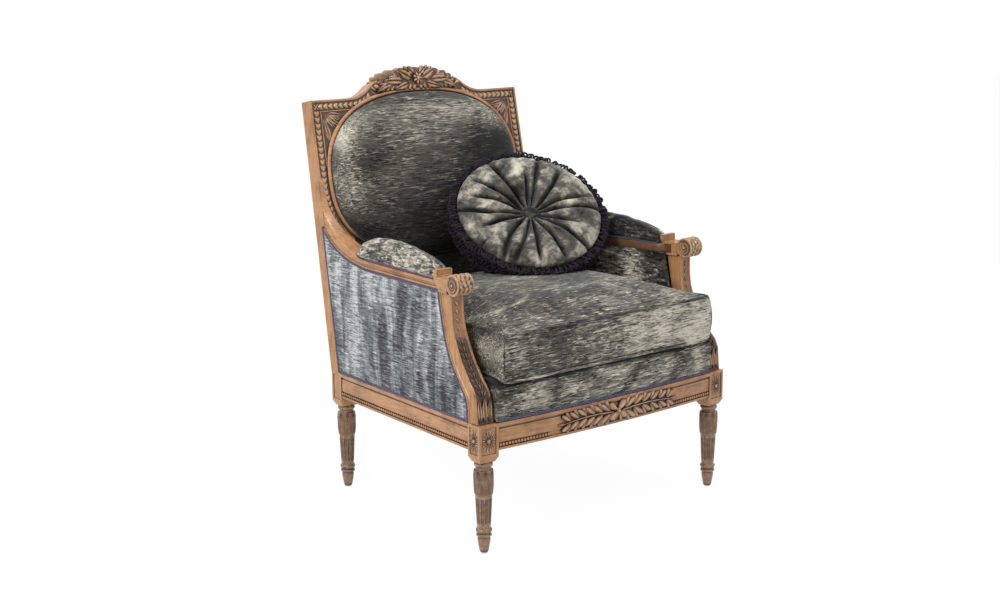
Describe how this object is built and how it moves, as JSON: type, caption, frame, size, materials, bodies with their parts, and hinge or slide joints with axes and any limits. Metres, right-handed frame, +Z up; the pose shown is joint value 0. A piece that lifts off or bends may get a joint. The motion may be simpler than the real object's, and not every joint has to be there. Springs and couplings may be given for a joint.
{
  "type": "upholstered armchair",
  "caption": "Upholstered armchair with closed sides, a carved and turned show-wood frame, an oval padded back, a loose box seat cushion and a loose pleated round cushion.",
  "frame": {"origin": "on the floor, under the middle of the whole chair", "axes": "+Z up, the chair faces -Y, and the side at the left of a person who looks at its front is -X"},
  "size_m": [0.7754, 0.776, 1.0224],
  "materials": {
    "show_wood": "waxed",
    "inner_wood": "unfinished",
    "dark_velvet": "crushed velvet",
    "pale_velvet": "crushed velvet",
    "fringe": "looped yarn",
    "webbing": "woven jute",
    "dust_cloth": "plain weave",
    "steel": "plain"
  },
  "bodies": {
    "frame": {"arm_left": "show_wood", "arm_pad_left": "dark_velvet", "arm_pad_right": "dark_velvet", "arm_right": "show_wood", "arm_support_left": "show_wood", "arm_support_right": "show_wood", "back_lower_rail": "show_wood", "back_outside_panel": "dark_velvet", "back_pad": "dark_velvet", "back_webbing": "webbing", "crest_rail": "show_wood", "dust_cover": "dust_cloth", "front_brace_screw_left": "steel", "front_brace_screw_right": "steel", "front_corner_brace_left": "inner_wood", "front_corner_brace_right": "inner_wood", "front_glide_left": "steel", "front_glide_right": "steel", "front_leg_left": "show_wood", "front_leg_right": "show_wood", "front_seat_rail": "show_wood", "lower_back_lining": "dark_velvet", "rear_brace_screw_left": "steel", "rear_brace_screw_right": "steel", "rear_corner_brace_left": "inner_wood", "rear_corner_brace_right": "inner_wood", "rear_glide_left": "steel", "rear_glide_right": "steel", "rear_post_left": "show_wood", "rear_post_right": "show_wood", "rear_seat_rail": "show_wood", "seat_platform": "dark_velvet", "seat_webbing": "webbing", "side_panel_inside_left": "dark_velvet", "side_panel_inside_right": "dark_velvet", "side_panel_outside_left": "pale_velvet", "side_panel_outside_right": "pale_velvet", "side_seat_rail_left": "show_wood", "side_seat_rail_right": "show_wood", "side_stuffing_rail_left": "inner_wood", "side_stuffing_rail_right": "inner_wood"},
    "seat_cushion": {"seat_cushion": "dark_velvet"},
    "round_cushion": {"round_cushion": "pale_velvet", "round_cushion_button_back": "pale_velvet", "round_cushion_button_front": "pale_velvet", "round_cushion_fringe": "fringe"}
  },
  "joints": [
    {"name": "seat_cushion_lift", "type": "slide", "parent": "frame", "child": "seat_cushion", "axis": [0, 0, 1], "range_m": [0, 0.3]},
    {"name": "round_cushion_lift", "type": "slide", "parent": "seat_cushion", "child": "round_cushion", "axis": [0, 0, 1], "range_m": [0, 0.25]}
  ]
}
